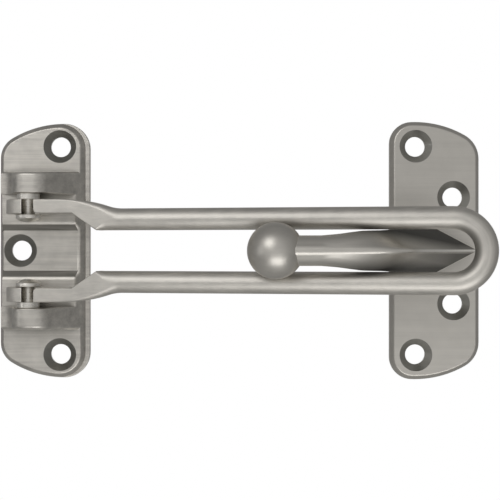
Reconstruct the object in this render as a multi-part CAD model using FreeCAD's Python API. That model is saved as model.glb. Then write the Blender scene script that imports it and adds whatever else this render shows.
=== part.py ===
# Swing bar door guard: a base bracket with two lugs, a U-shaped bar that swings on two pins,
# and a strike plate whose ball-ended horn is trapped in the loop of the bar.
# Units are millimetres. X runs from the base bracket to the strike, Z is up, and both plates are
# fixed at Y = 0 with the bar in front of them, towards -Y. The origin is the middle of the base
# bracket's back face. A height below is a distance in front of that face.

import FreeCAD, Part
import math
import os

# Both plates
plate_width = 22.9
plate_height = 65.0
plate_thickness = 3.1
edge_thickness = 1.6
side_slope_deg = 55.0
sweep_radius = 26.0
shoulder_radius = 6.0
corner_radius = 6.5

# Base bracket
flange_lip = 1.05
saddle_height = 4.4
saddle_draft = 0.8
channel_half_floor = 5.1
channel_half_mouth = 6.95

# Lugs
lug_inner_z = 14.2
lug_thickness = 5.9
lug_draft = 0.9
boss_radius = 4.0
crown_corner_radius = 4.4
root_fillet_radius = 5.0
rim_bevel = 0.5

# Pins, with their washers
pin_x = -2.5
pin_height = 10.1
pin_radius = 1.6
pin_head_radius = 3.1
pin_head_thickness = 2.0
pin_head_rim = 0.9
pin_head_flat_radius = 1.9
washer_radius = 2.8
washer_thickness = 1.6
end_play = 0.06
running_clearance = 0.05

# Swing bar, measured from the pins along the bar
bar_tilt_deg = 9.5
bar_reach = 113.5
rod_diameter = 5.3
slot_width = 9.8
eye_radius = 5.3
eye_height = 3.5
slit_start = 0.3
slit_end = 3.4
strip_thickness = 4.4
knee_start = 13.0
knee_end = 19.1
round_start = 24.2
strip_corner = 0.45
full_round = 0.95
round_share_deg = 8.0

# Strike
strike_x = 99.65
ball_diameter = 13.1
ball_x = 58.3
ball_gap = 0.35
neck_half_width = 3.5
neck_ridge_rise = 4.9
neck_depth = 7.4
ridge_dive_deg = 56.0
ridge_bend_radius = 16.0
belly_dive_deg = 61.0
belly_bend_radius = 15.0
waist_half_width = 5.0
root_half_width = 6.4
neck_crest_radius = 1.9
root_crest_radius = 0.8
horn_tail_margin = 0.9
horn_heel_margin = 3.4
elbow_steps = 5

# Screw holes, countersunk at ninety degrees
screw_hole_diameter = 5.05
countersink_diameter = 8.3
base_hole_x = 4.0
base_hole_z = 26.5
base_middle_hole_x = -6.0
strike_outer_hole_x = 94.75
strike_outer_hole_z = 26.6
strike_inner_hole_x = 104.35
strike_inner_hole_z = 13.6

# Sizes that follow from the ones above
side_slope = math.radians(side_slope_deg)
bar_tilt = math.radians(bar_tilt_deg)
ridge_dive = math.radians(ridge_dive_deg)
belly_dive = math.radians(belly_dive_deg)
base_left = -plate_width / 2
base_right = plate_width / 2
slope_foot_x = base_right - flange_lip
crown_height = pin_height + boss_radius
rod_radius = rod_diameter / 2
leg_z = slot_width / 2 + rod_radius
rod_level = eye_radius - rod_radius
head_outer_z = lug_inner_z - washer_thickness - eye_height - 2 * end_play
eye_inner_z = head_outer_z + end_play
eye_outer_z = eye_inner_z + eye_height
head_inner_z = head_outer_z - pin_head_thickness
ball_radius = ball_diameter / 2


def spot(x, height, z):
    return FreeCAD.Vector(x, -height, z)


def bend(centre, start, end):
    # A round stretch about centre that runs from start to end the short way.
    radius = (start - centre).Length
    middle = (start - centre) + (end - centre)
    middle.normalize()
    return Part.Arc(start, centre + middle * radius, end).toShape()


def closed_face(edges):
    return Part.Face(Part.Wire(edges))


def slab(points, direction):
    loop = Part.makePolygon(points + [points[0]])
    return Part.Face(loop).extrude(direction)


def plate_outline(left, right, top, radii, height, side):
    # Straight sides joined at each end by a small corner, a long sweep and a shoulder, all tangent.
    # side is 1 with the shoulder at the low x side and -1 for the mirrored plate.
    sweep, shoulder, corner, apex_x = radii
    sweep_z = top - sweep
    ends = []
    for x, radius in ((left + shoulder, shoulder), (right - corner, corner)):
        rise = math.sqrt((sweep - radius) ** 2 - (x - apex_x) ** 2)
        ends.append((x, sweep_z + rise, radius))

    def at(x, z):
        return spot(side * x, height, z)

    edges = []
    for flip in (1, -1):
        middle = at(apex_x, flip * sweep_z)
        shoulder_x, shoulder_z, shoulder_r = ends[0]
        corner_x, corner_z, corner_r = ends[1]
        shoulder_middle = at(shoulder_x, flip * shoulder_z)
        corner_middle = at(corner_x, flip * corner_z)
        out = shoulder_middle - middle
        shoulder_meet = middle + out * (sweep / out.Length)
        out = corner_middle - middle
        corner_meet = shoulder_meet
        if out.Length > 0:
            corner_meet = middle + out * (sweep / out.Length)
        run = [bend(shoulder_middle, at(left, flip * shoulder_z), shoulder_meet),
               bend(middle, shoulder_meet, corner_meet),
               bend(corner_middle, corner_meet, at(right, flip * corner_z))]
        edges.append(run)
    right_side = Part.makeLine(at(right, ends[1][1]), at(right, -ends[1][1]))
    left_side = Part.makeLine(at(left, -ends[0][1]), at(left, ends[0][1]))
    return Part.Wire(edges[0] + [right_side] + list(reversed(edges[1])) + [left_side])


def countersunk_hole(x, z, thickness):
    # The hole goes right through and its mouth flares at forty-five degrees to the front face.
    radius = screw_hole_diameter / 2
    mouth = countersink_diameter / 2
    margin = 1.0
    axis = FreeCAD.Vector(0, -1, 0)
    drill = Part.makeCylinder(radius, thickness + 2 * margin, spot(x, -margin, z), axis)
    depth = mouth - radius
    flare = Part.makeCone(radius, mouth + margin, depth + margin, spot(x, thickness - depth, z), axis)
    return drill.fuse(flare)


def lug_profile(z):
    # Round boss about the pin, flat crown, sloping gusset to the lip and a hollow root on the left.
    pin = spot(pin_x, pin_height, z)
    root_height = saddle_height + root_fillet_radius
    reach = boss_radius + root_fillet_radius
    root_x = pin_x - math.sqrt(reach ** 2 - (pin_height - root_height) ** 2)
    root = spot(root_x, root_height, z)
    boss_meet = pin + (root - pin) * (boss_radius / reach)
    start_x = max(base_left + saddle_draft, root_x)
    drop = math.sqrt(root_fillet_radius ** 2 - (start_x - root_x) ** 2)
    root_start = spot(start_x, root_height - drop, z)
    crown_start = spot(pin_x, crown_height, z)
    slope_reach = slope_foot_x * math.sin(side_slope) + edge_thickness * math.cos(side_slope)
    corner_height = crown_height - crown_corner_radius
    corner_reach = slope_reach - crown_corner_radius - corner_height * math.cos(side_slope)
    corner_x = corner_reach / math.sin(side_slope)
    corner = spot(corner_x, corner_height, z)
    crown_end = spot(corner_x, crown_height, z)
    slope_start = corner + spot(math.sin(side_slope), math.cos(side_slope), 0) * crown_corner_radius
    slope_end = spot(slope_foot_x, edge_thickness, z)
    foot_right = spot(slope_foot_x, 0, z)
    foot_left = spot(base_left, 0, z)
    lip_left = spot(base_left, edge_thickness, z)
    return closed_face([
        Part.makeLine(lip_left, root_start),
        bend(root, root_start, boss_meet),
        bend(pin, boss_meet, crown_start),
        Part.makeLine(crown_start, crown_end),
        bend(corner, crown_end, slope_start),
        Part.makeLine(slope_start, slope_end),
        Part.makeLine(slope_end, foot_right),
        Part.makeLine(foot_right, foot_left),
        Part.makeLine(foot_left, lip_left)])


def lug(flip):
    # The lug's outer face leans inwards towards the front, as a casting's does.
    outer_z = lug_inner_z + lug_thickness
    block = lug_profile(0).extrude(FreeCAD.Vector(0, 0, flip * (outer_z + lug_draft)))
    tall = 2 * crown_height
    lean = lug_draft * (tall - plate_thickness) / (crown_height - plate_thickness)
    left = base_left
    points = [spot(left, 0, flip * lug_inner_z), spot(left, tall, flip * lug_inner_z),
              spot(left, tall, flip * (outer_z - lean)), spot(left, plate_thickness, flip * outer_z),
              spot(left, 0, flip * outer_z)]
    body = block.common(slab(points, FreeCAD.Vector(plate_width, 0, 0)))
    rim = []
    for edge in body.Edges:
        box = edge.BoundBox
        outside = min(abs(box.ZMin), abs(box.ZMax)) > lug_inner_z + rim_bevel
        high = -box.YMax > pin_height - boss_radius / 2
        if outside and high:
            rim.append(edge)
    return body.makeChamfer(rim_bevel, rim)


def saddle(flip):
    # The step between lug and channel that the eye of the bar turns over.
    slope_rise = saddle_height - edge_thickness
    slope_run = slope_rise / math.tan(side_slope)
    across = slab([spot(base_left, 0, 0), spot(base_left, edge_thickness, 0),
                   spot(base_left + saddle_draft, saddle_height, 0),
                   spot(slope_foot_x - slope_run, saddle_height, 0),
                   spot(slope_foot_x, edge_thickness, 0), spot(slope_foot_x, 0, 0)],
                  FreeCAD.Vector(0, 0, flip * plate_height / 2))
    wall = (channel_half_mouth - channel_half_floor) / (saddle_height - plate_thickness)
    inner_z = channel_half_floor - plate_thickness * wall
    outer_z = lug_inner_z + lug_thickness / 2
    along = slab([spot(base_left, 0, flip * inner_z),
                  spot(base_left, saddle_height, flip * channel_half_mouth),
                  spot(base_left, saddle_height, flip * outer_z),
                  spot(base_left, 0, flip * outer_z)],
                 FreeCAD.Vector(plate_width, 0, 0))
    return across.common(along)


def sloped_plate(lip, side):
    # A thin edge all round, then a slope up to the raised face. lip is how far the thin part shows
    # beside the slope on the corner side.
    half = plate_width / 2
    top = plate_height / 2
    apex_x = half - corner_radius
    radii = (sweep_radius, shoulder_radius, corner_radius, apex_x)
    foot = plate_outline(-half, half, top, radii, 0, side)
    edge = Part.Face(foot).extrude(spot(0, edge_thickness, 0))
    inset = (plate_thickness - edge_thickness) / math.tan(side_slope)
    low = plate_outline(-half, half - lip, top, radii, edge_thickness, side)
    upper_radii = (sweep_radius - inset, shoulder_radius - inset, corner_radius - inset, apex_x)
    high = plate_outline(inset - half, half - lip - inset, top - inset, upper_radii, plate_thickness, side)
    return edge.fuse(Part.makeLoft([low, high], True, True))


def base_bracket():
    body = sloped_plate(flange_lip, 1)
    for flip in (1, -1):
        body = body.fuse(saddle(flip)).fuse(lug(flip))
    for z in (base_hole_z, -base_hole_z):
        body = body.cut(countersunk_hole(base_hole_x, z, plate_thickness))
    body = body.cut(countersunk_hole(base_middle_hole_x, 0, plate_thickness))
    pin_hole = Part.makeCylinder(pin_radius, plate_height, spot(pin_x, pin_height, -plate_height / 2))
    return body.cut(pin_hole).removeSplitter()


def pin(flip):
    # A headed pin: its bevelled head faces the channel and its shank is pressed through the lug.
    lug_face = lug_inner_z + lug_thickness - lug_draft
    rim_z = head_outer_z - pin_head_rim
    profile = ((0, head_inner_z), (pin_head_flat_radius, head_inner_z), (pin_head_radius, rim_z),
               (pin_head_radius, head_outer_z), (pin_radius, head_outer_z), (pin_radius, lug_face),
               (0, lug_face))
    corners = [FreeCAD.Vector(radius, 0, z) for radius, z in profile]
    half_section = Part.Face(Part.makePolygon(corners + [corners[0]]))
    body = half_section.revolve(FreeCAD.Vector(0, 0, 0), FreeCAD.Vector(0, 0, 1), 360)
    return placed_on_pin(body, flip)


def washer(flip):
    low = FreeCAD.Vector(0, 0, lug_inner_z - washer_thickness)
    ring = Part.makeCylinder(washer_radius, washer_thickness, low)
    bore = Part.makeCylinder(pin_radius, plate_height)
    return placed_on_pin(ring.cut(bore), flip)


def placed_on_pin(body, flip):
    if flip < 0:
        body = body.mirror(FreeCAD.Vector(0, 0, 0), FreeCAD.Vector(0, 0, 1))
    body.translate(spot(pin_x, pin_height, 0))
    return body


def rounded_section(along, back, inner, outer, inner_corner, outer_corner):
    # A closed section across the bar, straight-sided with a radius at each corner. Its front is flush
    # with the eye.
    front = eye_radius
    points = []
    for z, level, corner, z_first in ((outer, front, outer_corner, True), (outer, back, outer_corner, False),
                                      (inner, back, inner_corner, True), (inner, front, inner_corner, False)):
        z_in = z - corner if z == outer else z + corner
        level_in = level - corner if level == front else level + corner
        on_level = spot(along, level, z_in)
        on_side = spot(along, level_in, z)
        pair = (on_level, on_side) if z_first else (on_side, on_level)
        points.append((pair[0], spot(along, level_in, z_in), pair[1]))
    edges = []
    for number, (first, middle, last) in enumerate(points):
        edges.append(bend(middle, first, last))
        edges.append(Part.makeLine(last, points[(number + 1) % 4][0]))
    return Part.Wire(edges)


def round_section(along):
    # The rod's section, in the same eight stretches as the straight-sided one.
    middle = spot(along, rod_level, leg_z)
    share = math.radians(round_share_deg)
    angles = []
    for quarter in range(4):
        angles.append(math.pi / 2 * quarter + share)
        angles.append(math.pi / 2 * (quarter + 1) - share)
    rim = [middle + spot(0, rod_radius * math.cos(a), rod_radius * math.sin(a)) for a in angles]
    return Part.Wire([bend(middle, rim[i], rim[(i + 1) % 8]) for i in range(8)])


def bar_arm(flip):
    # One leg's end: a square strip from the eye, a dog-leg towards the middle and then the round rod.
    # The inner side turns at two sharp knees; the outer side sweeps over and grows round first.
    rod_back = eye_radius - rod_diameter
    strip_back = eye_radius - strip_thickness
    rod_inner = slot_width / 2
    rod_outer = rod_inner + rod_diameter
    knee_share = (knee_end - knee_start) / (round_start - knee_start)
    sections = [rounded_section(slit_end, strip_back, eye_inner_z, eye_outer_z, strip_corner, strip_corner)]
    # Share of the run from the first knee, then of the outer side's step and of its rounding, then
    # of the inner side's rounding.
    stages = ((0.0, 0.08, 0.0, 0.0), (0.2, 0.17, 0.2, 0.0), (0.4, 0.3, 0.4, 0.0),
              (knee_share, 0.45, 0.55, 0.0), (0.66, 0.64, 0.7, 0.75), (0.83, 0.9, 0.9, 0.95))
    for share, outer_share, outer_round, inner_round in stages:
        along = knee_start + (round_start - knee_start) * share
        bent = min(share / knee_share, 1)
        back = strip_back + (rod_back - strip_back) * share
        full = min((eye_radius - back) / 2, rod_radius) - strip_corner
        sections.append(rounded_section(along, back, eye_inner_z + (rod_inner - eye_inner_z) * bent,
                                        eye_outer_z + (rod_outer - eye_outer_z) * outer_share,
                                        strip_corner + full * inner_round * full_round,
                                        strip_corner + full * outer_round * full_round))
    sections.append(round_section(round_start))
    arm = Part.makeLoft(sections, True, True)
    if flip < 0:
        arm = arm.mirror(FreeCAD.Vector(0, 0, 0), FreeCAD.Vector(0, 0, 1))
    return arm


def bar_loop():
    # The round rod: two straight legs and the half ring that joins them.
    bend_x = bar_reach - rod_radius - leg_z
    loop = Part.makeTorus(leg_z, rod_radius, spot(bend_x, rod_level, 0), FreeCAD.Vector(0, 1, 0))
    half_space = Part.makeBox(bar_reach, bar_reach, bar_reach, spot(bend_x, bar_reach / 2, -bar_reach / 2))
    loop = loop.common(half_space)
    for flip in (1, -1):
        foot = spot(round_start, rod_level, flip * leg_z)
        loop = loop.fuse(Part.makeCylinder(rod_radius, bend_x - round_start, foot, FreeCAD.Vector(1, 0, 0)))
    return loop


def eye(flip):
    # The eye curls round the pin and is left open by a slit at the front.
    low_z = eye_inner_z if flip > 0 else -eye_outer_z
    ring = Part.makeCylinder(eye_radius, eye_height, FreeCAD.Vector(0, 0, low_z))
    corner = spot(slit_start, 2 * eye_radius, low_z)
    slit = Part.makeBox(slit_end - slit_start, 2 * eye_radius, eye_height, corner)
    return ring.cut(slit)


def swing_bar():
    bar = bar_loop()
    for flip in (1, -1):
        bar = bar.fuse(bar_arm(flip)).fuse(eye(flip))
    below = FreeCAD.Vector(0, 0, -plate_height / 2)
    bore = Part.makeCylinder(pin_radius + running_clearance, plate_height, below)
    bar = bar.cut(bore).removeSplitter()
    bar.rotate(FreeCAD.Vector(0, 0, 0), FreeCAD.Vector(0, 0, 1), -bar_tilt_deg)
    bar.translate(spot(pin_x, pin_height, 0))
    return bar


def bar_level(x):
    # Height of the rod's centreline in front of the wall at x.
    along = x - pin_x
    return pin_height + rod_level / math.cos(bar_tilt) + along * math.tan(bar_tilt)


def ball_height():
    # The ball rests in the groove between the two legs, clear of both by ball_gap.
    apart = ball_radius + rod_radius + ball_gap
    stand_off = math.sqrt(apart ** 2 - leg_z ** 2)
    return bar_level(ball_x) + stand_off / math.cos(bar_tilt)


def round_stretch(start, start_way, end, end_way):
    # A round stretch, as one cubic, that leaves start along one way and reaches end along another.
    turn = start_way.getAngle(end_way)
    radius = (end - start).Length / (2 * math.sin(turn / 2))
    pull = 4 / 3 * math.tan(turn / 4) * radius
    curve = Part.BezierCurve()
    curve.setPoles([start, start + start_way * pull, end - end_way * pull, end])
    return curve.toShape()


def horn_section(ridge, belly, half, crest_radius):
    # A pear-shaped section: round belly, flat flanks and a tight round along the ridge.
    up = (ridge - belly).normalize()
    out = FreeCAD.Vector(0, 0, 1)
    lean = (half - crest_radius) / ((ridge - belly).Length - half - crest_radius)
    rise = math.sqrt(1 - lean ** 2)
    belly_middle = belly + up * half
    crest_middle = ridge - up * crest_radius
    left, right = up * lean - out * rise, up * lean + out * rise
    climb, fall = out * lean + up * rise, out * lean - up * rise
    belly_left, belly_right = belly_middle + left * half, belly_middle + right * half
    crest_left, crest_right = crest_middle + left * crest_radius, crest_middle + right * crest_radius
    return Part.Wire([round_stretch(crest_left, climb, ridge, out),
                      round_stretch(ridge, out, crest_right, fall),
                      Part.makeLine(crest_right, belly_right),
                      round_stretch(belly_right, fall, belly, out * -1),
                      round_stretch(belly, out * -1, belly_left, climb),
                      Part.makeLine(belly_left, crest_left)])


def guide(level, foot_x, foot_height, dive, radius):
    # A line of the horn seen from the side: level, then a bend, then straight down to its foot.
    # Gives where the bend starts and ends, and the height at any x.
    corner_x = foot_x - (level - foot_height) / math.tan(dive)
    reach = radius * math.tan(dive / 2)
    bend_start = corner_x - reach
    bend_end = corner_x + reach * math.cos(dive)

    def height(x):
        if x <= bend_start:
            return level
        if x >= bend_end:
            return foot_height + (foot_x - x) * math.tan(dive)
        return level - radius + math.sqrt(radius ** 2 - (x - bend_start) ** 2)

    return bend_start, bend_end, height


def horn():
    # A keeled horn: a level neck that leaves the ball, an elbow that swells below the closed bar and
    # a stem that dives into the plate and ends in a sharp tail.
    heel_x = strike_x - plate_width / 2 + horn_heel_margin
    tail_x = strike_x + plate_width / 2 - horn_tail_margin
    buried = plate_thickness / 3
    neck_x = ball_x + ball_radius / 2
    ridge_level = ball_height() + neck_ridge_rise
    ridge = guide(ridge_level, tail_x, buried, ridge_dive, ridge_bend_radius)
    belly = guide(ridge_level - neck_depth, heel_x, buried, belly_dive, belly_bend_radius)
    elbow_x = belly[0]
    stations = [(neck_x, neck_x, neck_half_width, neck_crest_radius)]
    for step in range(elbow_steps + 1):
        share = step / elbow_steps
        stations.append((elbow_x + (ridge[1] - elbow_x) * share, elbow_x + (belly[1] - elbow_x) * share,
                         neck_half_width + (waist_half_width - neck_half_width) * share,
                         neck_crest_radius + (root_crest_radius - neck_crest_radius) * share))
    stations.append((tail_x, heel_x, root_half_width, root_crest_radius))
    sections = []
    for ridge_x, belly_x, half, crest in stations:
        on_ridge = spot(ridge_x, ridge[2](ridge_x), 0)
        on_belly = spot(belly_x, belly[2](belly_x), 0)
        sections.append(horn_section(on_ridge, on_belly, half, crest))
    return Part.makeLoft(sections, True, True)


def strike():
    plate = sloped_plate(0, -1)
    plate.translate(FreeCAD.Vector(strike_x, 0, 0))
    for hole_x, hole_z in ((strike_outer_hole_x, strike_outer_hole_z), (strike_inner_hole_x, strike_inner_hole_z)):
        for flip in (1, -1):
            plate = plate.cut(countersunk_hole(hole_x, flip * hole_z, plate_thickness))
    # The sphere's seam is turned to the side that the horn doesn't meet.
    ball = Part.makeSphere(ball_radius)
    ball.rotate(FreeCAD.Vector(0, 0, 0), FreeCAD.Vector(0, 0, 1), 180)
    ball.translate(spot(ball_x, ball_height(), 0))
    return plate.fuse(horn()).fuse(ball).removeSplitter()


pieces = {
    "base_bracket": base_bracket(),
    "upper_pin": pin(1),
    "lower_pin": pin(-1),
    "upper_washer": washer(1),
    "lower_washer": washer(-1),
    "swing_bar": swing_bar(),
    "strike": strike(),
}

os.makedirs("parts", exist_ok=True)
for name, shape in pieces.items():
    shape.exportStep("parts/" + name + ".step")
    print(name, "solids", len(shape.Solids), "valid", shape.isValid(), "volume", round(shape.Volume, 1))
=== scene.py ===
import bpy
import bmesh
import math
from mathutils import Matrix, Vector


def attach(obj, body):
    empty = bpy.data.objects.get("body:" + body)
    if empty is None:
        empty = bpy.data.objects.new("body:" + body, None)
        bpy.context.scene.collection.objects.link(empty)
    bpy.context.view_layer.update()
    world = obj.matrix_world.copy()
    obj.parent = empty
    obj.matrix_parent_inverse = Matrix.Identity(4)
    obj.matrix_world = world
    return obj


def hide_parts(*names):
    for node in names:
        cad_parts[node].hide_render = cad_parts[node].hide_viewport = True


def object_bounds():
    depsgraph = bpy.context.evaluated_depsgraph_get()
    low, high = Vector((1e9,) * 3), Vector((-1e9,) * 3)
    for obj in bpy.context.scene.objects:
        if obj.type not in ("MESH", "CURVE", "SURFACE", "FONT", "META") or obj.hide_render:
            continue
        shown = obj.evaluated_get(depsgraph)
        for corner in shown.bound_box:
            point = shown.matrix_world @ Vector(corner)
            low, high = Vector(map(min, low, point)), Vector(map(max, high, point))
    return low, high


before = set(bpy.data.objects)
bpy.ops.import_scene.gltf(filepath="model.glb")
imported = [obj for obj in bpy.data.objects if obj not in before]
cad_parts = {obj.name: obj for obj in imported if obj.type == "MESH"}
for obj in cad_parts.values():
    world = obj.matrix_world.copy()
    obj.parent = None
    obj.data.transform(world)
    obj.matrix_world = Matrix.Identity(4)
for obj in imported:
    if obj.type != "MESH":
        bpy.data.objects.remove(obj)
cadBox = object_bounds()
bpy.ops.object.select_all(action="DESELECT")
print("frame loaded:", len(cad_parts), "nodes")

# The place that the photograph was taken from, in metres
photo = {
    "wallWidth": 0.12895,         # how much it shows at the back of the plates
    "distance": 0.262,            # from the lens to the back of the plates
    "sideways": 0.05247,
    "up": 0.00015,
    "sensor": 36.0,               # millimetres
    "nearest": 0.01,
    "furthest": 20.0,
}


def addCamera():
    cameraData = bpy.data.cameras.new("photoCamera")
    cameraData.sensor_width = photo["sensor"]
    cameraData.lens = photo["sensor"] * photo["distance"] / photo["wallWidth"]
    cameraData.clip_start = photo["nearest"]
    cameraData.clip_end = photo["furthest"]
    camera = bpy.data.objects.new("photoCamera", cameraData)
    bpy.context.scene.collection.objects.link(camera)
    camera.location = (photo["sideways"], -photo["distance"], photo["up"])
    camera.rotation_euler = (math.radians(90), 0, 0)
    bpy.context.scene.camera = camera


addCamera()
bpy.context.scene.view_settings.view_transform = "Standard"
print("camera placed")


# Short ways to make shader nodes; each socket takes a value or a link
def put(tree, kind, sockets=None, **settings):
    node = tree.nodes.new(kind)
    for name, value in settings.items():
        setattr(node, name, value)
    for name, value in (sockets or {}).items():
        if isinstance(value, bpy.types.NodeSocket):
            tree.links.new(value, node.inputs[name])
        else:
            node.inputs[name].default_value = value
    return node


def maths(tree, operation, *values, **settings):
    return put(tree, "ShaderNodeMath", dict(enumerate(values)), operation=operation, **settings).outputs[0]


def vectors(tree, operation, *values):
    return put(tree, "ShaderNodeVectorMath", dict(enumerate(values)), operation=operation).outputs


def splitUp(tree, vector):
    return put(tree, "ShaderNodeSeparateXYZ", {0: vector}).outputs


def joinUp(tree, **parts):
    return put(tree, "ShaderNodeCombineXYZ", parts).outputs[0]


def ramp(tree, value, ends, kind="LINEAR"):
    # From 0 at the first of the ends to 1 at the second
    return put(tree, "ShaderNodeMapRange", {"Value": value, "From Min": ends[0], "From Max": ends[1]},
               interpolation_type=kind).outputs[0]


def softRamp(tree, value, ends):
    return ramp(tree, value, ends, "SMOOTHSTEP")


def noise(tree, place, scale, detail, roughness=0.5):
    return put(tree, "ShaderNodeTexNoise", {"Vector": place, "Scale": scale, "Detail": detail,
                                            "Roughness": roughness}).outputs[0]


# Soft boxes round the part: how far round to the right and up they stand, their size and strength
softBoxes = {
    "upperBox": {"right": -28, "up": 31, "size": (0.3, 0.3), "away": 0.55, "power": 0.57},
    "lowerBox": {"right": 10, "up": -43, "size": (0.44, 0.26), "away": 0.5, "power": 0.76},
    "leftBox": {"right": -62, "up": 0, "size": (0.12, 0.3), "away": 0.6, "power": 0.1},
}
studio = {
    "floorLevel": -0.42,
    "floorWidth": 2.4,
    "floorBack": 1.0,
    "floorFront": -1.2,
    "floorColour": (0.86, 0.86, 0.85, 1.0),
    "floorRoughness": 0.9,
    # Grey room that the metal sees, by share of the way from in front of the part (0) to behind it (1)
    "room": ((0, 0.6), (0.067, 0.56), (0.146, 0.47), (0.25, 0.38), (0.37, 0.32), (0.5, 0.28), (0.75, 0.26),
             (0.93, 0.3)),
    "wall": (0.965, 0.985),       # where the white wall behind the part begins and is full
}


def addSoftBoxes(target):
    for name, box in softBoxes.items():
        right, up = math.radians(box["right"]), math.radians(box["up"])
        towards = Vector((math.sin(right) * math.cos(up), -math.cos(right) * math.cos(up), math.sin(up)))
        lamp = bpy.data.lights.new(name, "AREA")
        lamp.shape = "RECTANGLE"
        lamp.size, lamp.size_y = box["size"]
        lamp.energy = box["power"]
        light = bpy.data.objects.new(name, lamp)
        bpy.context.scene.collection.objects.link(light)
        light.location = target + towards * box["away"]
        light.rotation_mode = "QUATERNION"
        light.rotation_quaternion = towards.to_track_quat("Z", "Y")


def greyRoom(tree, backward):
    stops = put(tree, "ShaderNodeValToRGB", {0: backward})
    elements = stops.color_ramp.elements
    for element, (place, level) in ((elements[0], studio["room"][0]), (elements[1], studio["room"][-1])):
        element.position, element.color = place, (level, level, level, 1)
    for place, level in studio["room"][1:-1]:
        elements.new(place).color = (level, level, level, 1)
    return put(tree, "ShaderNodeBackground", {"Color": stops.outputs["Color"]}).outputs[0]


def addWorld():
    # The camera sees white; metal sees a grey room with the same white wall behind the part
    world = bpy.data.worlds.new("studioWorld")
    bpy.context.scene.world = world
    world.use_nodes = True
    tree = world.node_tree
    tree.nodes.clear()
    coord = put(tree, "ShaderNodeTexCoord")
    backward = ramp(tree, splitUp(tree, coord.outputs["Generated"])["Y"], (-1, 1))
    wall = ramp(tree, backward, studio["wall"])
    path = put(tree, "ShaderNodeLightPath").outputs
    bounced = maths(tree, "ADD", path["Is Glossy Ray"], path["Is Transmission Ray"], use_clamp=True)
    onWall = maths(tree, "MULTIPLY", bounced, wall)
    seen = maths(tree, "ADD", onWall, path["Is Camera Ray"], use_clamp=True)
    white = put(tree, "ShaderNodeBackground", {"Color": (1, 1, 1, 1)}).outputs[0]
    mix = put(tree, "ShaderNodeMixShader", {0: seen, 1: greyRoom(tree, backward), 2: white})
    put(tree, "ShaderNodeOutputWorld", {"Surface": mix.outputs[0]})


def addFloor():
    depth = studio["floorBack"] - studio["floorFront"]
    centre = (photo["sideways"], studio["floorFront"] + depth / 2, studio["floorLevel"])
    bpy.ops.mesh.primitive_plane_add(size=1, location=centre)
    floor = bpy.context.object
    floor.scale = (studio["floorWidth"], depth, 1)
    bpy.ops.object.transform_apply(location=True, rotation=True, scale=True)
    floor.name = "studioFloor"
    paint = bpy.data.materials.new("paleFloor")
    paint.use_nodes = True
    shader = paint.node_tree.nodes["Principled BSDF"]
    shader.inputs["Base Color"].default_value = studio["floorColour"]
    shader.inputs["Roughness"].default_value = studio["floorRoughness"]
    floor.data.materials.append(paint)


addSoftBoxes((cadBox[0] + cadBox[1]) / 2)
addWorld()
addFloor()
print("studio lit")

# Effects that the finishes share, each a node group that gives masks; sizes in metres, scales to the metre
effectForm = {
    "brush": (70, 2600, 2600),    # lines along the brush and across it
    "brushRoughness": 0.6,
    "bandShare": 0.28,            # the broader bands' scale, of the lines' scale
    "brushSpread": (0.66, 1.34),
    "noiseSpread": (0.3, 0.7),
    "grain": 7000.0,
    "patches": 260.0,
    "rings": 9000.0,
    # Sizes for the painted highlight on edges and the painted shade in inner corners
    "edgeWidth": 0.0004,
    "edgeBend": (0.995, 0.86),    # cosine of the turn at an edge
    "cornerReach": 0.004,
    "cornerOpen": (0.82, 0.3),    # how open to the air a corner is
    "drillRadius": 0.0042,
    "samples": 8,
}


def newEffect(name, given, masks):
    effect = bpy.data.node_groups.new(name, "ShaderNodeTree")
    for label, value in given.items():
        kind = "NodeSocketVector" if isinstance(value, tuple) else "NodeSocketFloat"
        effect.interface.new_socket(label, in_out="INPUT", socket_type=kind).default_value = value
    for label in masks:
        effect.interface.new_socket(label, in_out="OUTPUT", socket_type="NodeSocketFloat")
    return effect, effect.nodes.new("NodeGroupInput").outputs, effect.nodes.new("NodeGroupOutput").inputs


def awayFrom(effect, place, axis, counted):
    # How far a place is from an axis; counted is 1 for the ways that count
    offset = vectors(effect, "SUBTRACT", place, axis)[0]
    flat = vectors(effect, "MULTIPLY", offset, counted)[0]
    return vectors(effect, "LENGTH", flat)["Value"]


def brushMarksEffect():
    # Fine lines left by a brush that ran one way, with broader bands among them
    effect, given, made = newEffect("brushMarks", {"Vector": (0, 0, 0), "Stretch": effectForm["brush"]},
                                    ["Lines"])
    fine = vectors(effect, "MULTIPLY", given["Vector"], given["Stretch"])[0]
    broad = put(effect, "ShaderNodeVectorMath", {0: fine, "Scale": effectForm["bandShare"]},
                operation="SCALE").outputs[0]
    lines = noise(effect, fine, scale=1.0, detail=3.0, roughness=effectForm["brushRoughness"])
    bands = noise(effect, broad, scale=1.0, detail=2.0)
    both = maths(effect, "ADD", lines, bands)
    effect.links.new(ramp(effect, both, effectForm["brushSpread"]), made["Lines"])
    return effect


def satinGrainEffect():
    # The fine tooth of the plating, and broad patches of more and less polish
    sizes = {"Fine": effectForm["grain"], "Broad": effectForm["patches"]}
    effect, given, made = newEffect("satinGrain", {"Vector": (0, 0, 0), **sizes}, ["Grain", "Patches"])
    for label, size, detail in (("Grain", "Fine", 2.0), ("Patches", "Broad", 3.0)):
        cloud = noise(effect, given["Vector"], given[size], detail)
        effect.links.new(ramp(effect, cloud, effectForm["noiseSpread"]), made[label])
    return effect


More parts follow.
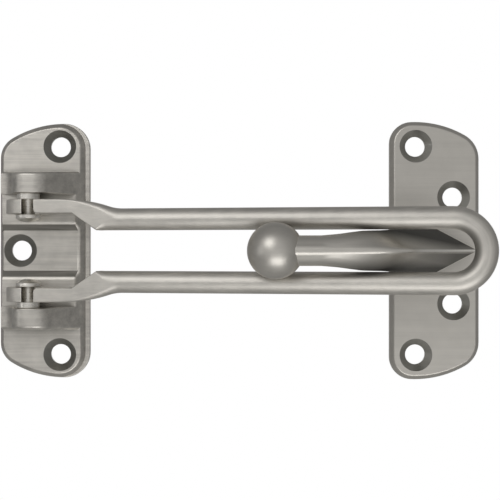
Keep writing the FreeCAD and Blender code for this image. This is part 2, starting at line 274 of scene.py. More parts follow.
def paintedGlintAndCornerShadeEffect():
    # Painted highlight along convex edges, and painted shade in inner corners that are closed in
    sizes = {"Width": effectForm["edgeWidth"], "Reach": effectForm["cornerReach"]}
    effect, given, made = newEffect("paintedGlintAndCornerShade", sizes, ["Edge", "PaintedCornerShade"])
    rounded = put(effect, "ShaderNodeBevel", {"Radius": given["Width"]}, samples=effectForm["samples"])
    shape = put(effect, "ShaderNodeNewGeometry")
    alike = vectors(effect, "DOT_PRODUCT", rounded.outputs[0], shape.outputs["Normal"])["Value"]
    bent = ramp(effect, alike, effectForm["edgeBend"])
    openness = put(effect, "ShaderNodeAmbientOcclusion", {"Distance": given["Reach"]},
                   samples=effectForm["samples"], only_local=True)
    closed = ramp(effect, openness.outputs["AO"], effectForm["cornerOpen"])
    clear = maths(effect, "SUBTRACT", 1.0, closed)
    effect.links.new(maths(effect, "MULTIPLY", bent, clear), made["Edge"])
    effect.links.new(closed, made["PaintedCornerShade"])
    return effect


def paintedHoleShadeEffect():
    # Inside of a hole along Y, where shade is painted into the colour
    hole = {"Vector": (0, 0, 0), "Centre": (0, 0, 0), "Radius": effectForm["drillRadius"]}
    effect, given, made = newEffect("paintedHoleShade", hole, ["Inside"])
    away = awayFrom(effect, given["Vector"], given["Centre"], (1, 0, 1))
    effect.links.new(maths(effect, "LESS_THAN", away, given["Radius"]), made["Inside"])
    return effect


def turnedMarksEffect():
    # Rings left by a lathe, round an axis that stands along Z
    lathe = {"Vector": (0, 0, 0), "Axis": (0, 0, 0), "Fine": effectForm["rings"]}
    effect, given, made = newEffect("turnedMarks", lathe, ["Rings"])
    away = awayFrom(effect, given["Vector"], given["Axis"], (1, 1, 0))
    unrolled = joinUp(effect, X=away, Y=splitUp(effect, given["Vector"])["Z"])
    rings = noise(effect, unrolled, given["Fine"], detail=2.0)
    effect.links.new(ramp(effect, rings, effectForm["noiseSpread"]), made["Rings"])
    return effect


effects = {"brushMarks": brushMarksEffect(), "satinGrain": satinGrainEffect(), "paintedGlintAndCornerShade": paintedGlintAndCornerShadeEffect(),
           "paintedHoleShade": paintedHoleShadeEffect(), "turnedMarks": turnedMarksEffect()}
print("effects made:", len(effects))


def useEffect(tree, name, **given):
    return put(tree, "ShaderNodeGroup", given, node_tree=effects[name]).outputs


# The finishes: colours, roughness and how far each effect goes
bracketFinish = {
    "low": (0.42, 0.402, 0.37, 1), "high": (0.69, 0.66, 0.606, 1), "linesPolish": 0.65, "patchesPolish": 0.35,
    # edge is the colour of the painted highlight on edges, and corner that of painted shade
    "edge": (0.92, 0.89, 0.83, 1), "paintedGlintShare": 0.85,
    "corner": (0.12, 0.116, 0.104, 1), "paintedCornerShadeShare": 0.85, "shadeRough": 0.1,
    # the colour of the painted shade inside the holes
    "paintedHoleShade": (0.32, 0.312, 0.288, 1),
    "roughness": 0.4, "linesRough": 0.16, "grainRough": 0.06,
    "bump": 0.4, "bumpDepth": 0.00003, "linesHeight": 0.6, "grainHeight": 0.4,
}
barFinish = dict(bracketFinish, low=(0.52, 0.5, 0.462, 1), high=(0.7, 0.67, 0.618, 1), paintedGlintShare=0.6,
                 paintedCornerShadeShare=0.6, roughness=0.48, linesRough=0.08)
# corner also colours the painted shade on the horn's flanks, and ridge is the painted highlight on its crest
strikeFinish = dict(bracketFinish, low=(0.53, 0.508, 0.467, 1), high=(0.61, 0.585, 0.538, 1),
                    corner=(0.13, 0.127, 0.118, 1), paintedCornerShadeShare=0.3, shadeRough=0.42,
                    paintedHoleShade=(0.43, 0.42, 0.388, 1), ridge=(1.0, 0.97, 0.91, 1), linesRough=0.06, bump=0.2)
pinFinish = dict(bracketFinish, low=(0.7, 0.675, 0.625, 1), high=(0.86, 0.83, 0.77, 1), paintedGlintShare=0.5,
                 roughness=0.3)
millimetre = 0.001                # pieces are modelled in millimetres, and settle brings them to metres


def nickelPaint(name, finish, marks, holes=(), shade=None):
    # marks makes the lines of the finish from the piece's own coordinates, and shade its painted shade and
    # painted highlight
    paint = bpy.data.materials.new(name)
    paint.use_nodes = True
    tree = paint.node_tree
    shader = tree.nodes["Principled BSDF"]
    shader.inputs["Metallic"].default_value = 1.0
    coord = put(tree, "ShaderNodeTexCoord").outputs
    here = coord["Object"]
    lines = marks(tree, here)
    grain = useEffect(tree, "satinGrain", Vector=here)
    paintedGlintAndShade = useEffect(tree, "paintedGlintAndCornerShade")

    def part(mask, share):
        return maths(tree, "MULTIPLY", mask, finish[share])

    def tint(under, over, share):
        return put(tree, "ShaderNodeMix", {"Factor": share, 6: under, 7: over}, data_type="RGBA").outputs[2]

    polish = maths(tree, "ADD", part(lines, "linesPolish"), part(grain["Patches"], "patchesPolish"))
    colour = tint(finish["low"], finish["high"], polish)
    # Painted highlight on the edges and painted shade in the inner corners
    colour = tint(colour, finish["edge"], part(paintedGlintAndShade["Edge"], "paintedGlintShare"))
    colour = tint(colour, finish["corner"], part(paintedGlintAndShade["PaintedCornerShade"], "paintedCornerShadeShare"))
    smoothest = finish["roughness"] - finish["linesRough"] / 2 - finish["grainRough"] / 2
    rough = maths(tree, "ADD", smoothest, part(lines, "linesRough"))
    rough = maths(tree, "ADD", rough, part(grain["Grain"], "grainRough"))
    # Painted shade, and on the horn's ridge a painted highlight, from the shade function
    if shade:
        paintedDark, ridge = shade(tree, coord)
        colour = tint(colour, finish["corner"], paintedDark)
        rough = maths(tree, "ADD", rough, part(paintedDark, "shadeRough"))
        if ridge:
            colour = tint(colour, finish["ridge"], ridge)
    # Painted shade inside the holes and their countersinks
    for x, z in holes:
        inside = useEffect(tree, "paintedHoleShade", Vector=here, Centre=(x * millimetre, 0, z * millimetre))
        colour = tint(colour, finish["paintedHoleShade"], inside["Inside"])
    height = maths(tree, "ADD", part(lines, "linesHeight"), part(grain["Grain"], "grainHeight"))
    bump = put(tree, "ShaderNodeBump", {"Height": height, "Strength": finish["bump"],
                                        "Distance": finish["bumpDepth"]})
    tree.links.new(colour, shader.inputs["Base Color"])
    tree.links.new(rough, shader.inputs["Roughness"])
    tree.links.new(bump.outputs[0], shader.inputs["Normal"])
    return paint


# Tones drawn darker or brighter than the lamps make them, as the photograph shows them. Places are in
# metres, and a pair is where a tone begins and where it is full
channelTone = {"steep": (0.3, 0.6), "near": (0.0073, 0.0069), "share": 0.8}
bendTone = {"start": 0.0985, "inner": (0.0068, 0.0054), "begun": (-0.001, 0.004), "share": 0.6}
hornTone = {"along": (0.084, 0.104), "upperRise": 0.0034, "upper": (0.0023, 0.0051),
            "lower": (-0.0007, -0.0044), "lowerEdge": (-0.0003, -0.0009), "lowerShare": 0.85,
            "started": (0.066, 0.08), "above": (-0.0031, -0.0036), "crest": (0.0004, 0.00012),
            "bright": (0.082, 0.094)}


def straightLines(tree, here):
    return useEffect(tree, "brushMarks", Vector=here)["Lines"]


def loopLines(tree, here):
    # Along the rods, and round the bend at the loop's end
    place = splitUp(tree, here)
    past = maths(tree, "SUBTRACT", place["X"], bendTone["start"])
    across = joinUp(tree, X=maths(tree, "MAXIMUM", past, 0.0), Y=place["Z"])
    out = vectors(tree, "LENGTH", across)["Value"]
    return straightLines(tree, joinUp(tree, X=place["X"], Y=place["Y"], Z=out))


def latheRings(tree, here):
    axis = (pinPlace["x"] * millimetre, -pinPlace["height"] * millimetre, 0)
    return useEffect(tree, "turnedMarks", Vector=here, Axis=axis)["Rings"]


def channelShade(tree, coord):
    # The two slopes of the middle channel, drawn darker
    steep = maths(tree, "ABSOLUTE", splitUp(tree, coord["Normal"])["Z"])
    side = maths(tree, "ABSOLUTE", splitUp(tree, coord["Object"])["Z"])
    slopes = maths(tree, "MULTIPLY", softRamp(tree, steep, channelTone["steep"]),
                   softRamp(tree, side, channelTone["near"]))
    return maths(tree, "MULTIPLY", slopes, channelTone["share"]), None


def bendShade(tree, coord):
    # Inside of the bend at the loop's end, drawn darker
    place = splitUp(tree, coord["Object"])
    past = maths(tree, "SUBTRACT", place["X"], bendTone["start"])
    out = vectors(tree, "LENGTH", joinUp(tree, X=past, Y=place["Z"]))["Value"]
    inside = maths(tree, "MULTIPLY", softRamp(tree, out, bendTone["inner"]),
                   softRamp(tree, past, bendTone["begun"]))
    return maths(tree, "MULTIPLY", inside, bendTone["share"]), None


def hornShade(tree, coord):
    # The horn's flanks, drawn dark towards their sides and the plate, and its ridge, drawn bright
    place = splitUp(tree, coord["Object"])
    along = ramp(tree, place["X"], hornTone["along"])
    upper = maths(tree, "ADD", place["Z"], maths(tree, "MULTIPLY", along, hornTone["upperRise"]))
    upper = ramp(tree, upper, hornTone["upper"])
    lower = ramp(tree, place["Z"], hornTone["lower"])
    lowerMore = maths(tree, "MULTIPLY", ramp(tree, place["Z"], hornTone["lowerEdge"]), along)
    lowerMore = maths(tree, "MULTIPLY", lowerMore, hornTone["lowerShare"])
    flanks = maths(tree, "MAXIMUM", upper, maths(tree, "MAXIMUM", lower, lowerMore))
    above = softRamp(tree, place["Y"], hornTone["above"])
    onHorn = maths(tree, "MULTIPLY", softRamp(tree, place["X"], hornTone["started"]), above)
    paintedDark = maths(tree, "MULTIPLY", flanks, onHorn)
    crest = softRamp(tree, maths(tree, "ABSOLUTE", place["Z"]), hornTone["crest"])
    ridge = maths(tree, "MULTIPLY", crest, softRamp(tree, place["X"], hornTone["bright"]))
    return paintedDark, maths(tree, "MULTIPLY", ridge, above)


# Ways to model a piece
modelling = {
    "weld": 0.002,                # corners nearer than this become one
    "close": 0.01,                # slack where places are compared
    "smoothUnder": 35,            # degrees
    "flatWeight": 80,
}


def spot(x, height, z):
    # Along the closed bar, out from the wall, and up
    return Vector((x, -height, z))


def tidySelection():
    if bpy.context.object and bpy.context.object.mode == "EDIT":
        bpy.ops.object.mode_set(mode="OBJECT")
    bpy.ops.object.select_all(action="DESELECT")


def pickUp(piece):
    tidySelection()
    piece.select_set(True)
    bpy.context.view_layer.objects.active = piece


def openUp(piece):
    # Into edit mode, with everything selected
    pickUp(piece)
    bpy.ops.object.mode_set(mode="EDIT")
    bpy.ops.mesh.select_all(action="SELECT")


def closeUp():
    # Out of edit mode, as one sound skin
    bpy.ops.mesh.select_all(action="SELECT")
    bpy.ops.mesh.remove_doubles(threshold=modelling["weld"])
    bpy.ops.mesh.normals_make_consistent(inside=False)
    bpy.ops.object.mode_set(mode="OBJECT")


def finishWith(piece, kind, **settings):
    pickUp(piece)
    modifier = piece.modifiers.new("step", kind)
    for name, value in settings.items():
        setattr(modifier, name, value)
    bpy.ops.object.modifier_apply(modifier="step")


def combine(piece, other, operation):
    finishWith(piece, "BOOLEAN", object=other, operation=operation, solver="MANIFOLD")
    bpy.data.objects.remove(other)


def selectPlaces(piece, test, what="VERT"):
    # In edit mode: picks the vertices or edges whose middles pass the test
    bpy.ops.mesh.select_mode(type=what)
    bpy.ops.mesh.select_all(action="DESELECT")
    shape = bmesh.from_edit_mesh(piece.data)
    for part in {"VERT": shape.verts, "EDGE": shape.edges}[what]:
        corners = [part] if what == "VERT" else list(part.verts)
        middle = sum((v.co for v in corners), Vector()) / len(corners)
        part.select = test(middle.x, -middle.y, middle.z)
    shape.select_flush_mode()
    bmesh.update_edit_mesh(piece.data)


def roundPlaces(piece, test, width, segments=5):
    # In edit mode: rounds the edges whose middles pass the test
    selectPlaces(piece, test, "EDGE")
    bpy.ops.mesh.bevel(offset=width, segments=segments, affect="EDGES")


def roundEdges(piece, width, segments, angle):
    finishWith(piece, "BEVEL", width=width, segments=segments, limit_method="ANGLE",
               angle_limit=math.radians(angle), use_clamp_overlap=True, harden_normals=False)


def arc(centreX, centreY, radius, start, end, steps):
    turns = [math.radians(start + (end - start) * i / steps) for i in range(steps + 1)]
    return [(centreX + radius * math.cos(a), centreY + radius * math.sin(a)) for a in turns]


def newPiece(name, points, edges, faces):
    mesh = bpy.data.meshes.new(name)
    mesh.from_pydata(points, edges, faces)
    piece = bpy.data.objects.new(name, mesh)
    bpy.context.scene.collection.objects.link(piece)
    return piece


def drawnFace(name, corners, place):
    # One flat face through the corners, each laid in space by place
    return newPiece(name, [place(*corner) for corner in corners], [], [list(range(len(corners)))])


def pullOut(piece, way):
    # The whole face is pulled along way into a block
    openUp(piece)
    bpy.ops.mesh.extrude_region_move(TRANSFORM_OT_translate={"value": way})


def turned(name, profile, place, steps=64):
    # Turned on a lathe: points of radius and distance along an axis that is then stood at place
    piece = newPiece(name, [(radius, 0, far) for radius, far in profile],
                     [(i, i + 1) for i in range(len(profile) - 1)], [])
    openUp(piece)
    bpy.ops.mesh.spin(steps=steps, angle=math.tau, center=(0, 0, 0), axis=(0, 0, 1))
    closeUp()
    piece.data.transform(place)
    return piece


def drawnThrough(name, rings):
    # Circles are bent to the given sections and bridged into one skin, which stays in edit mode
    tidySelection()
    piece = None
    for ring in rings:
        bpy.ops.mesh.primitive_circle_add(vertices=len(ring), radius=1, location=(0, 0, 0))
        if piece is None:
            piece = bpy.context.object
            piece.name = name
            bpy.ops.object.mode_set(mode="EDIT")
        shape = bmesh.from_edit_mesh(piece.data)
        fresh = sorted((v for v in shape.verts if v.select), key=lambda v: v.index)
        for vertex, point in zip(fresh, ring):
            vertex.co = point
        bmesh.update_edit_mesh(piece.data)
        bpy.ops.mesh.select_all(action="DESELECT")
    bpy.ops.mesh.select_all(action="SELECT")
    bpy.ops.mesh.bridge_edge_loops(type="SINGLE")
    return piece


def smooth(piece):
    # Round stretches shade smoothly and large faces stay flat
    pickUp(piece)
    bpy.ops.object.shade_smooth_by_angle(angle=math.radians(modelling["smoothUnder"]))
    finishWith(piece, "WEIGHTED_NORMAL", keep_sharp=True, weight=modelling["flatWeight"])


# Both plates: straight sides, and at each end a corner, a long sweep and a shoulder that run together
plate = {"width": 22.9, "height": 65.0, "thickness": 3.1, "edge": 1.6, "slope": 55, "sweep": 26.0,
         "shoulder": 6.0, "corner": 6.5, "apexIn": 6.5, "softness": 0.28, "hole": 5.05, "countersink": 8.3,
         "holeFlare": 0.25, "drillPast": 1.0}
slope = math.radians(plate["slope"])   # of the plates' sides, from the wall


def plateOutline(form, lip, side, inset=0):
    left, right, top = inset - form["width"] / 2, form["width"] / 2 - lip - inset, form["height"] / 2 - inset
    sweep, shoulder, corner = [form[name] - inset for name in ("sweep", "shoulder", "corner")]
    apex = form["width"] / 2 - form["apexIn"]
    sweepZ = top - sweep

    def meeting(x, radius):
        rise = math.sqrt((sweep - radius) ** 2 - (x - apex) ** 2)
        return sweepZ + rise, math.degrees(math.atan2(rise, x - apex))

    cornerZ, cornerTurn = meeting(right - corner, corner)
    shoulderZ, shoulderTurn = meeting(left + shoulder, shoulder)
    upper = arc(right - corner, cornerZ, corner, 0, cornerTurn, steps=12)
    upper += arc(apex, sweepZ, sweep, cornerTurn, shoulderTurn, steps=12)[1:]
    upper += arc(left + shoulder, shoulderZ, shoulder, shoulderTurn, 180, steps=9)[1:]
    whole = upper + [(x, -z) for x, z in reversed(upper)]
    if side < 0:
        whole = [(-x, z) for x, z in reversed(whole)]
    return whole


def slopedPlate(name, form, middleX, lip, side, inset=0, foot=0):
    # A thin edge and then a slope up to the face
    body = drawnFace(name, plateOutline(form, lip, side, inset), lambda x, z: spot(x + middleX, foot, z))
    pullOut(body, spot(0, form["edge"] - foot, 0))
    rise = form["thickness"] - form["edge"]
    bpy.ops.mesh.inset(thickness=rise / math.tan(slope), depth=rise)
    closeUp()
    return body


def cutHole(piece, x, z):
    radius, mouth = plate["hole"] / 2, plate["countersink"] / 2
    past, face = plate["drillPast"], plate["thickness"]
    profile = [(0, -past), (radius + plate["holeFlare"], -past), (radius, face - mouth + radius),
               (mouth + past, face + past), (0, face + past)]
    stand = Matrix.Translation(spot(x, 0, z)) @ Matrix.Rotation(math.radians(90), 4, "X")
    combine(piece, turned("drill", profile, stand), "DIFFERENCE")


# The base bracket, from its middle
base = {"lip": 1.05, "tuck": 0.05, "padFoot": 0.4, "flangeSoftness": 0.2, "leftLedge": 0.3,
        "saddle": 4.4, "saddleDraft": 0.5, "saddleSoftness": 0.55, "saddleFoot": 1.0, "saddleBuried": 0.3,
        "channelFloor": 5.1, "channelMouth": 6.95, "lugInner": 14.2, "lugThickness": 5.9, "lugDraft": 0.9,
        "lugFoot": 0.6, "boss": 4.0, "crownCorner": 4.4, "rootRadius": 5.0, "rimSoftness": 0.75,
        "innerSoftness": 0.2, "bore": 1.61, "boreReach": 40,
        "holes": ((4.0, 26.5), (4.0, -26.5), (-6.0, 0.0))}
pinPlace = {"x": -2.5, "height": 10.1}
pinAxis = Matrix.Translation(spot(pinPlace["x"], pinPlace["height"], 0))


def leanIn(body, left, right, draft):
    # Both ends of a block lean in from the flange upwards, the right one at the plate's slope
    for vertex in body.data.vertices:
        up = -vertex.co.y - plate["edge"]
        if vertex.co.x < 0:
            vertex.co.x = left + draft * up / (base["saddle"] - plate["edge"])
        else:
            vertex.co.x = right - up / math.tan(slope)


def saddle(flip):
    # A block beside the channel, whose ends are put in place by leanIn
    run = (base["channelMouth"] - base["channelFloor"]) / (base["saddle"] - plate["thickness"])
    floor, foot = base["channelFloor"] - run * base["saddleBuried"], base["saddleFoot"]
    outer = base["lugInner"] + base["lugThickness"] / 2
    profile = [(floor, foot), (floor, plate["thickness"] - base["saddleBuried"]),
               (base["channelMouth"], base["saddle"]), (outer, base["saddle"]), (outer, foot)]
    body = drawnFace("saddle", profile, lambda z, height: spot(-1, height, flip * z))
    pullOut(body, spot(2, 0, 0))
    bpy.ops.object.mode_set(mode="OBJECT")
    leanIn(body, base["leftLedge"] - plate["width"] / 2, plate["width"] / 2 - base["lip"] - 2 * base["tuck"],
           base["saddleDraft"])
    openUp(body)
    closeUp()
    openUp(body)
    roundPlaces(body, lambda x, height, z: height > plate["thickness"] and abs(z) < base["lugInner"],
                base["saddleSoftness"])
    closeUp()
    return body


def lugOutline():
    pinX, pinHeight = pinPlace["x"], pinPlace["height"]
    left = base["leftLedge"] + base["tuck"] - plate["width"] / 2
    right = plate["width"] / 2 - base["lip"] - 3 * base["tuck"]
    boss, root, corner, foot = base["boss"], base["rootRadius"], base["crownCorner"], base["lugFoot"]
    crown = pinHeight + boss
    rootHeight = base["saddle"] + root
    rootX = pinX - math.sqrt((boss + root) ** 2 - (pinHeight - rootHeight) ** 2)
    startX = max(left + base["saddleDraft"], rootX)
    startTurn = -math.degrees(math.acos((startX - rootX) / root))
    meetTurn = math.degrees(math.atan2(pinHeight - rootHeight, pinX - rootX))
    slopeReach = right * math.sin(slope) + plate["edge"] * math.cos(slope)
    cornerX = (slopeReach - corner - (crown - corner) * math.cos(slope)) / math.sin(slope)
    return ([(left, foot), (left, plate["edge"])]
            + arc(rootX, rootHeight, root, startTurn, meetTurn, steps=10)
            + arc(pinX, pinHeight, boss, 180 + meetTurn, 90, steps=12)[1:]
            + arc(cornerX, crown - corner, corner, 90, 90 - math.degrees(slope), steps=8)
            + [(right, plate["edge"]), (right, foot)])


def lug(flip):
    # The outer face leans inwards towards the front, and its rim is rounded
    body = drawnFace("lug", lugOutline(), lambda x, height: spot(x, height, flip * base["lugInner"]))
    pullOut(body, (0, 0, 0))
    outer = base["lugInner"] + base["lugThickness"]
    lean = base["lugDraft"] / (pinPlace["height"] + base["boss"] - plate["thickness"])
    shape = bmesh.from_edit_mesh(body.data)
    for vertex in shape.verts:
        if vertex.select:
            vertex.co.z = flip * (outer - lean * (-vertex.co.y - plate["thickness"]))
    bmesh.update_edit_mesh(body.data)
    lowest, nearInner = plate["edge"] + modelling["close"], base["lugInner"] + modelling["close"]
    nearOuter = base["lugInner"] + base["lugThickness"] * 0.75
    roundPlaces(body, lambda x, height, z: height > lowest and abs(z) < nearInner, base["innerSoftness"])
    roundPlaces(body, lambda x, height, z: height > lowest and abs(z) > nearOuter, base["rimSoftness"])
    closeUp()
    return body


def baseBracket():
    body = drawnFace("baseBracket", plateOutline(plate, 0, 1), lambda x, z: spot(x, 0, z))
    pullOut(body, spot(0, plate["edge"], 0))
    closeUp()
    roundEdges(body, base["flangeSoftness"], segments=3, angle=40)
    pad = slopedPlate("pad", plate, 0, base["lip"], 1, base["tuck"], base["padFoot"])
    openUp(pad)
    face = plate["thickness"] - modelling["close"]
    roundPlaces(pad, lambda x, height, z: height > face, plate["softness"], segments=3)
    closeUp()
    combine(body, pad, "UNION")
    for x, z in base["holes"]:
        cutHole(body, x, z)
    for flip in (1, -1):
        for block in (saddle(flip), lug(flip)):
            combine(body, block, "UNION")
    bore, reach = base["bore"], base["boreReach"]
    drill = turned("bore", [(0, -reach), (bore, -reach), (bore, reach), (0, reach)], pinAxis)
    combine(body, drill, "DIFFERENCE")
    return body


# Pins and washers, from the middle of the bar outwards
pins = {"headInner": 6.98, "headOuter": 8.98, "headRadius": 3.1, "rim": 0.9, "radius": 1.6, "end": 19.2,
        "washerRadius": 2.8, "washerInner": 12.6, "washerOuter": 14.2, "washerSlack": 0.02, "softness": 0.15}


def pin(name, flip):
    radius, rise = pins["headRadius"], pins["headOuter"] - pins["headInner"] - pins["rim"]
    dome = (radius ** 2 + rise ** 2) / (2 * rise)
    reach = math.degrees(math.asin(radius / dome))
    soft = pins["softness"]
    profile = arc(0, pins["headInner"] + dome, dome, -90, -90 + reach, steps=10)[:-1]
    rimLow = pins["headOuter"] - pins["rim"]
    profile += [(radius - soft * 0.3, rimLow - soft * 0.2), (radius, rimLow + soft)]
    profile += [(radius, pins["headOuter"] - soft), (radius - soft, pins["headOuter"])]
    profile += [(pins["radius"], pins["headOuter"]), (pins["radius"], pins["end"] - soft)]
    profile += [(pins["radius"] - soft, pins["end"]), (0, pins["end"])]
    return turned(name, [(r, flip * far) for r, far in profile], pinAxis)


def washer(name, flip):
    soft, inner, outer = pins["softness"], pins["washerInner"], pins["washerOuter"]
    hole, rim = pins["radius"] + pins["washerSlack"], pins["washerRadius"]
    profile = [(hole, inner), (rim - soft, inner), (rim, inner + soft), (rim, outer - soft),
               (rim - soft, outer), (hole, outer), (hole, inner)]
    return turned(name, [(r, flip * far) for r, far in profile], pinAxis)


# The swing bar, along the bar from the pins
bar = {"tilt": 9.5, "reach": 113.5, "rod": 2.65, "leg": 7.55, "front": 5.3, "stripBack": 0.9,
       "endRound": 0.75, "eyeInner": 9.04, "eyeOuter": 12.54, "eyeBore": 1.65, "eyeOverlap": 0.015,
       "eyeSoftness": 0.25, "slitLeft": 0.3, "slitRight": 3.4, "slitOver": 0.05, "slitPast": 1,
       "slitWall": ((-1, 0), (-1.62, 0.9), (0.25, 5.0)), "slitSoftness": 0.2}


def blendAlong(stages, x):
    # A smooth line through stages of place and value
    if x <= stages[0][0]:
        return stages[0][1]
    for number, (first, second) in enumerate(zip(stages, stages[1:])):
        if x <= second[0]:
            before, after = stages[max(number - 1, 0)], stages[min(number + 2, len(stages) - 1)]
            span = second[0] - first[0]
            tangents = []
            for low, high in ((before, second), (first, after)):
                tangents.append((high[1] - low[1]) / (high[0] - low[0]) * span)
            t = (x - first[0]) / span
            return ((2 * t ** 3 - 3 * t ** 2 + 1) * first[1] + (t ** 3 - 2 * t ** 2 + t) * tangents[0]
                    + (3 * t ** 2 - 2 * t ** 3) * second[1] + (t ** 3 - t ** 2) * tangents[1])
    return stages[-1][1]


# From the square strip to the round rod, by place along the bar
dogLeg = {
    "outer": ((0, 12.54), (10, 12.5), (13, 12.32), (15.2, 12.1), (17.5, 11.8), (20, 11.2), (22.4, 10.5),
              (24.2, 10.2)),
    "outerRound": ((0, 0.35), (10, 0.4), (12.7, 0.45), (15.2, 0.75), (17.7, 1.25), (20.2, 1.6), (22, 1.95),
                   (24.2, 2.6)),
    "innerRound": ((0, 0.35), (18.6, 0.35), (19.4, 0.8), (20.6, 2.0), (22.3, 2.45), (24.2, 2.6)),
    "kneeStart": 13.0,
    "kneeEnd": 19.1,
    "roundStart": 24.2,
    "fullest": 0.98,              # of the largest rounding that a section has room for
    "cornerSteps": 7,
    # Where the sections stand: past the eye, one by one, and in rows of first, step and count
    "endSteps": (0, 0.06, 0.2, 0.42, 0.75),
    "stations": (6.0, 10.0, 11.5, 12.3, 12.8, 13.0, 13.2, 18.9, 19.1, 19.3),
    "rows": ((13.8, 0.6, 9), (19.8, 0.5, 9)),
    "rodStations": (24.6, 60),
}


def barSection(along):
    # Across the bar: four rounded corners, which take up the whole section where it is round
    start, front = dogLeg["kneeStart"], bar["front"]
    bent = min(max((along - start) / (dogLeg["kneeEnd"] - start), 0), 1)
    inner = bar["eyeInner"] + (bar["leg"] - bar["rod"] - bar["eyeInner"]) * bent
    near = bar["slitRight"] + bar["endRound"] - along
    if near > 0:
        inner += bar["endRound"] - math.sqrt(max(bar["endRound"] ** 2 - near ** 2, 0))
    outer = blendAlong(dogLeg["outer"], along)
    grown = min(max((along - start) / (dogLeg["roundStart"] - start), 0), 1)
    back = bar["stripBack"] + (front - 2 * bar["rod"] - bar["stripBack"]) * grown
    largest = min((front - back) / 2, (outer - inner) / 2) * dogLeg["fullest"]
    outerRound = min(blendAlong(dogLeg["outerRound"], along), largest)
    innerRound = min(blendAlong(dogLeg["innerRound"], along), largest)
    points = []
    for turn, height, z, radius in ((0, front, outer, outerRound), (90, front, inner, innerRound),
                                    (180, back, inner, innerRound), (270, back, outer, outerRound)):
        rowHeight = height - radius if turn < 180 else height + radius
        rowZ = z - radius if turn in (0, 270) else z + radius
        corner = arc(rowZ, rowHeight, radius, turn, turn + 90, dogLeg["cornerSteps"])
        points += [spot(along, up, across) for across, up in corner]
    return points


def roundSection(along):
    # As many points as barSection gives, each quarter of them kept a little apart from the next
    apart, centre = 3, bar["front"] - bar["rod"]
    points = []
    for turn in (0, 90, 180, 270):
        quarter = arc(bar["leg"], centre, bar["rod"], turn + apart, turn + 90 - apart, dogLeg["cornerSteps"])
        points += [spot(along, up, across) for across, up in quarter]
    return points


def eye(flip):
    # Curls round the pin and is left open by a slit at the front
    soft, rim, bore = bar["eyeSoftness"], bar["front"], bar["eyeBore"]
    inner, outer = bar["eyeInner"] - bar["eyeOverlap"], bar["eyeOuter"] + bar["eyeOverlap"]
    little = soft * 0.3
    profile = [(bore, inner), (rim - soft, inner), (rim - little, inner + little), (rim, inner + soft),
               (rim, outer - soft), (rim - little, outer - little), (rim - soft, outer), (bore, outer),
               (bore, inner)]
    ring = turned("eye", [(r, flip * far) for r, far in profile], Matrix.Identity(4), steps=96)
    right, past = bar["slitRight"] + bar["slitOver"], bar["slitPast"]
    mouth = [(bar["slitLeft"], rim + past), (right, rim + past), (right, 0), *bar["slitWall"]]
    slit = drawnFace("slit", mouth, lambda x, height: spot(x, height, flip * (bar["eyeInner"] - past)))
    pullOut(slit, spot(0, 0, flip * (bar["eyeOuter"] - bar["eyeInner"] + 2 * past)))
    closeUp()
    combine(ring, slit, "DIFFERENCE")
    roundEdges(ring, bar["slitSoftness"], segments=2, angle=40)
    return ring


def barStations():
    places = [bar["slitRight"] + step for step in dogLeg["endSteps"]] + list(dogLeg["stations"])
    for first, step, count in dogLeg["rows"]:
        places += [first + step * i for i in range(count)]
    return sorted(places)


def swingBar():
    start, bendX = bar["slitRight"], bar["reach"] - bar["rod"] - bar["leg"]
    rings = [barSection(place) for place in barStations()]
    rings += [roundSection(place) for place in (*dogLeg["rodStations"], bendX)]
    body = drawnThrough("swingBar", rings)
    selectPlaces(body, lambda x, height, z: x > bendX - modelling["close"])
    bpy.ops.mesh.spin(steps=24, angle=math.radians(-90), axis=(0, 1, 0),
                      center=spot(bendX, bar["front"] - bar["rod"], 0))
    selectPlaces(body, lambda x, height, z: x < start + modelling["close"])
    bpy.ops.mesh.edge_face_add()
    closeUp()
    finishWith(body, "MIRROR", use_axis=(False, False, True), use_mirror_merge=True,
               merge_threshold=modelling["close"])
    openUp(body)
    closeUp()
    for flip in (1, -1):
        combine(body, eye(flip), "UNION")
    body.data.transform(pinAxis @ Matrix.Rotation(math.radians(-bar["tilt"]), 4, "Z"))
    return body


# The strike
strike = {"x": 99.65, "height": 66.0, "shoulder": 7.0, "corner": 5.7, "holeSoftness": 0.1,
          "ball": 6.55, "ballX": 58.3, "ballGap": 0.35, "neckHalf": 3.5, "neckCrest": 1.9, "neckDepth": 7.4,
          "ridgeRise": 4.9, "ridgeDive": 54.5, "ridgeBend": 16.0, "bellyDive": 61.0, "bellyBend": 15.0,
          "waistHalf": 5.0, "rootHalf": 6.4, "rootCrest": 0.5, "tailMargin": 0.87, "heelMargin": 2.42,
          "buried": 0.3, "elbowSteps": 24, "stemShares": (0.33, 0.66, 1),
          "swell": 0.27, "swellStart": 0.15, "swellLength": 0.75,
          "holes": ((94.75, 26.6), (94.75, -26.6), (104.35, 13.6), (104.35, -13.6))}


def ballHeight():
    tilt = math.radians(bar["tilt"])
    level = (pinPlace["height"] + (bar["front"] - bar["rod"]) / math.cos(tilt)
             + (strike["ballX"] - pinPlace["x"]) * math.tan(tilt))
    apart = strike["ball"] + bar["rod"] + strike["ballGap"]
    return level + math.sqrt(apart ** 2 - bar["leg"] ** 2) / math.cos(tilt)


def guide(level, footX, footHeight, dive, radius):
    # The horn's line from the side: level, a bend and then straight down to its foot
    turn = math.radians(dive)
    cornerX = footX - (level - footHeight) / math.tan(turn)
    reach = radius * math.tan(turn / 2)
    start, end = cornerX - reach, cornerX + reach * math.cos(turn)

    def height(x):
        if x <= start:
            return level
        if x >= end:
            return footHeight + (footX - x) * math.tan(turn)
        return level - radius + math.sqrt(radius ** 2 - (x - start) ** 2)

    return start, end, height


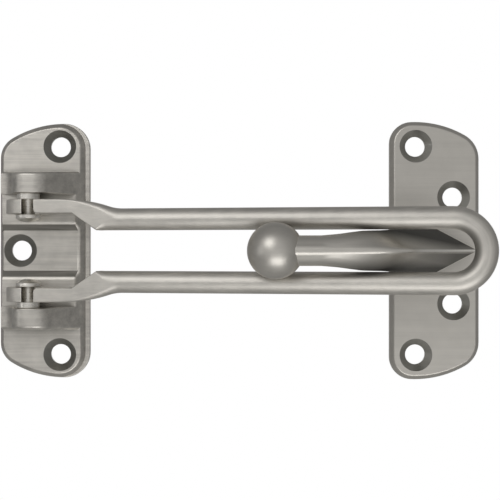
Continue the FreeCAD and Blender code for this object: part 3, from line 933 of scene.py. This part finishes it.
def pearSection(ridge, belly, half, crest):
    # A round belly, flat flanks and a tight round along the ridge
    up = (ridge - belly).normalized()
    length = (ridge - belly).length
    lean = math.degrees(math.asin((half - crest) / (length - half - crest)))
    side = arc(0, length - crest, crest, 90, lean, steps=6)
    under = arc(0, half, half, lean, -90, steps=12)
    (fromZ, fromUp), (toZ, toUp) = side[-1], under[0]
    side += [(fromZ + (toZ - fromZ) * i / 4, fromUp + (toUp - fromUp) * i / 4) for i in (1, 2, 3)]
    side += under
    loop = side + [(-across, rise) for across, rise in reversed(side[1:-1])]
    return [belly + up * rise + Vector((0, 0, across)) for across, rise in loop]


def horn():
    heelX = strike["x"] - plate["width"] / 2 + strike["heelMargin"]
    tailX = strike["x"] + plate["width"] / 2 - strike["tailMargin"]
    level = ballHeight() + strike["ridgeRise"]
    foot = plate["thickness"] - strike["buried"]
    ridge = guide(level, tailX, foot, strike["ridgeDive"], strike["ridgeBend"])
    belly = guide(level - strike["neckDepth"], heelX, foot, strike["bellyDive"], strike["bellyBend"])
    neckX = strike["ballX"] + strike["ball"] / 2
    stations = [(neckX, neckX, 0, 0)]
    for step in range(strike["elbowSteps"] + 1):
        share = step / strike["elbowSteps"]
        stations.append((belly[0] + (ridge[1] - belly[0]) * share, belly[0] + (belly[1] - belly[0]) * share,
                         share, 0))
    for share in strike["stemShares"]:
        stations.append((ridge[1] + (tailX - ridge[1]) * share, belly[1] + (heelX - belly[1]) * share,
                         1, share))
    rings = []
    for ridgeX, bellyX, elbow, stem in stations:
        swollen = min(max((elbow - strike["swellStart"]) / strike["swellLength"], 0), 1)
        half = (strike["neckHalf"] + (strike["waistHalf"] - strike["neckHalf"]) * elbow
                + (strike["rootHalf"] - strike["waistHalf"]) * stem)
        half += strike["swell"] * math.sin(math.pi * swollen) ** 2
        crest = strike["neckCrest"] + (strike["rootCrest"] - strike["neckCrest"]) * elbow
        rings.append(pearSection(spot(ridgeX, ridge[2](ridgeX), 0), spot(bellyX, belly[2](bellyX), 0),
                                 half, crest))
    body = drawnThrough("horn", rings)
    bpy.ops.mesh.select_all(action="SELECT")
    bpy.ops.mesh.fill_holes(sides=0)
    closeUp()
    return body


def strikePiece():
    form = dict(plate, height=strike["height"], shoulder=strike["shoulder"], corner=strike["corner"])
    body = slopedPlate("strikeBody", form, strike["x"], 0, -1)
    roundEdges(body, plate["softness"], segments=3, angle=30)
    for x, z in strike["holes"]:
        cutHole(body, x, z)
    roundEdges(body, strike["holeSoftness"], segments=2, angle=40)
    tidySelection()
    bpy.ops.mesh.primitive_uv_sphere_add(segments=96, ring_count=48, radius=strike["ball"],
                                         location=spot(strike["ballX"], ballHeight(), 0),
                                         rotation=(0, math.radians(90), 0))
    ball = bpy.context.object
    bpy.ops.object.transform_apply(location=True, rotation=True, scale=True)
    combine(ball, horn(), "UNION")
    combine(body, ball, "UNION")
    return body


def settle(piece, body, slotName, paint, *replaced):
    piece.data.transform(Matrix.Scale(millimetre, 4))
    smooth(piece)
    piece.data.materials.clear()
    piece.data.materials.append(paint)
    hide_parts(*replaced)
    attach(piece, body)
    print(piece.name, "made,", len(piece.data.polygons), "faces")


bracketNickel = nickelPaint("bracketNickel", bracketFinish, straightLines, base["holes"], channelShade)
barNickel = nickelPaint("barNickel", barFinish, loopLines, (), bendShade)
strikeNickel = nickelPaint("strikeNickel", strikeFinish, straightLines, strike["holes"], hornShade)
turnedNickel = nickelPaint("turnedNickel", pinFinish, latheRings)
print("finishes made")

settle(baseBracket(), "base", "satin_nickel", bracketNickel, "base_bracket")
for side, flip in (("upper", 1), ("lower", -1)):
    settle(pin(side + "Pin", flip), "base", "pin_metal", turnedNickel, side + "_pin")
    settle(washer(side + "Washer", flip), "base", "pin_metal", turnedNickel, side + "_washer")
settle(swingBar(), "swing_bar", "satin_nickel", barNickel, "swing_bar")
settle(strikePiece(), "strike", "satin_nickel", strikeNickel, "strike")
